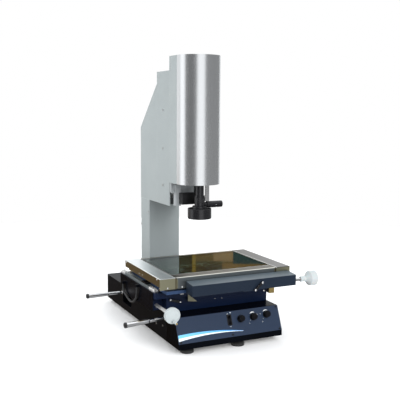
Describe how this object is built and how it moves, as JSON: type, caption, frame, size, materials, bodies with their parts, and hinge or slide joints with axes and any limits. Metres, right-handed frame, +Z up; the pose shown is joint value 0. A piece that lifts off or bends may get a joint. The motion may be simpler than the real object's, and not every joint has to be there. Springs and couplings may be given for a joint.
{
  "type": "vision measuring machine",
  "caption": "Manual video measuring machine: glass X-Y stage with handwheels on a cast base, and a camera with zoom lens on a column.",
  "frame": {"origin": "on the floor, under the middle of the base", "axes": "+Z up the column, +X to the operator's right, -Y towards the operator and the control panel"},
  "size_m": [0.6842, 0.7974, 0.9982],
  "materials": {
    "navy_paint": "satin enamel",
    "panel_paint": "satin enamel with a fine grain",
    "grey_paint": "satin enamel",
    "steel": "ground and brushed",
    "aluminium": "brushed and clear anodised",
    "black_anodised": "black anodised",
    "chrome": "polished",
    "black_plastic": "moulded",
    "white_plastic": "moulded",
    "rubber": "matt",
    "brass": "machined",
    "glass": "polished",
    "cast_iron": "primed"
  },
  "bodies": {
    "base": {"base_casting": "navy_paint", "floor_plate": "steel", "levelling_feet": "rubber", "control_box": "navy_paint", "control_panel": "panel_paint", "panel_fittings": "black_plastic", "bed_block": "navy_paint", "bed_plate": "navy_paint", "contour_light": "black_anodised", "left_cover": "navy_paint", "y_guide_bars": "steel", "y_scale": "aluminium", "y_bearing_blocks": "navy_paint", "bed_stops": "brass", "column": "grey_paint", "head_frame": "cast_iron", "side_plates": "grey_paint", "top_plate": "grey_paint", "rear_cover": "grey_paint", "z_guide_rails": "steel", "base_electrics": "black_plastic", "rear_sockets": "black_plastic", "carrying_bars": "chrome", "cover_screws": "steel", "cable_loop": "black_plastic"},
    "saddle": {"saddle_plate": "navy_paint", "saddle_guide_bars": "steel", "y_drive_nut": "black_anodised", "front_cover": "panel_paint", "x_bearing_blocks": "navy_paint"},
    "stage": {"stage_side_plates": "aluminium", "stage_rails": "aluminium", "stage_glass": "glass", "stage_guide_bars": "steel", "x_drive_nut": "black_anodised"},
    "head": {"z_carriage": "grey_paint", "z_runner_blocks": "steel", "z_rack": "steel", "tube_cover": "aluminium", "zoom_lens": "black_anodised", "camera": "black_anodised", "lens_clamp": "aluminium", "ring_light": "black_anodised", "coaxial_light": "black_anodised", "lens_bracket": "grey_paint"},
    "x_wheel": {"x_drive_rod": "steel", "x_handwheel": "white_plastic"},
    "y_wheel": {"y_drive_rod": "steel", "y_handwheel": "white_plastic"},
    "y_crank": {"y_crank_sleeve": "white_plastic"},
    "z_wheel": {"z_axle": "steel", "z_handwheel": "white_plastic"},
    "x_lever": {"x_lock_lever": "black_anodised"},
    "y_lever": {"y_lock_lever": "black_anodised"},
    "rocker": {"power_rocker": "black_plastic"},
    "left_knob": {"knob_left": "black_plastic"},
    "middle_knob": {"knob_middle": "black_plastic"},
    "right_knob": {"knob_right": "black_plastic"},
    "zoom": {"zoom_ring": "black_anodised"}
  },
  "joints": [
    {"name": "y_slide", "type": "slide", "parent": "base", "child": "saddle", "axis": [0, 1, 0], "range_m": [-0.039, 0.161]},
    {"name": "x_slide", "type": "slide", "parent": "saddle", "child": "stage", "axis": [1, 0, 0], "range_m": [-0.15, 0.15]},
    {"name": "z_slide", "type": "slide", "parent": "base", "child": "head", "axis": [0, 0, 1], "range_m": [-0.11, 0.04]},
    {"name": "x_turn", "type": "hinge", "parent": "saddle", "child": "x_wheel", "pos_m": [0.3, -0.367, 0.21], "axis": [1, 0, 0], "range_deg": [-2701, 2701]},
    {"name": "y_turn", "type": "hinge", "parent": "base", "child": "y_wheel", "pos_m": [-0.218, -0.366, 0.137], "axis": [0, -1, 0], "range_deg": [-703, 2899]},
    {"name": "y_crank_turn", "type": "hinge", "parent": "y_wheel", "child": "y_crank", "pos_m": [-0.218, -0.388, 0.119], "axis": [0, -1, 0], "continuous": true},
    {"name": "z_turn", "type": "hinge", "parent": "base", "child": "z_wheel", "pos_m": [0.08, 0.064, 0.6203], "axis": [1, 0, 0], "range_deg": [-328, 901]},
    {"name": "x_lever_turn", "type": "hinge", "parent": "saddle", "child": "x_lever", "pos_m": [0.075, -0.396, 0.199], "axis": [0, -1, 0], "range_deg": [0, 80]},
    {"name": "y_lever_turn", "type": "hinge", "parent": "base", "child": "y_lever", "pos_m": [-0.149, -0.272, 0.152], "axis": [0, -1, 0], "range_deg": [0, 55]},
    {"name": "rocker_tilt", "type": "hinge", "parent": "base", "child": "rocker", "pos_m": [0, -0.35158, 0.08998], "axis": [1, 0, 0], "range_deg": [0, 12]},
    {"name": "left_knob_turn", "type": "hinge", "parent": "base", "child": "left_knob", "pos_m": [0.043, -0.35565, 0.0906], "axis": [0, -0.9222, 0.3867], "range_deg": [-150, 150]},
    {"name": "middle_knob_turn", "type": "hinge", "parent": "base", "child": "middle_knob", "pos_m": [0.093, -0.35526, 0.09153], "axis": [0, -0.9222, 0.3867], "range_deg": [-150, 150]},
    {"name": "right_knob_turn", "type": "hinge", "parent": "base", "child": "right_knob", "pos_m": [0.146, -0.3543, 0.09383], "axis": [0, -0.9222, 0.3867], "range_deg": [-150, 150]},
    {"name": "zoom_turn", "type": "hinge", "parent": "head", "child": "zoom", "pos_m": [0, -0.113, 0.479], "axis": [0, 0, 1], "range_deg": [-60, 60]}
  ],
  "couplings": [
    {"joint": "x_turn", "follows": "x_slide", "rad_per_m": 314.16},
    {"joint": "y_turn", "follows": "y_slide", "rad_per_m": 314.16},
    {"joint": "z_turn", "follows": "z_slide", "rad_per_m": -142.86}
  ]
}
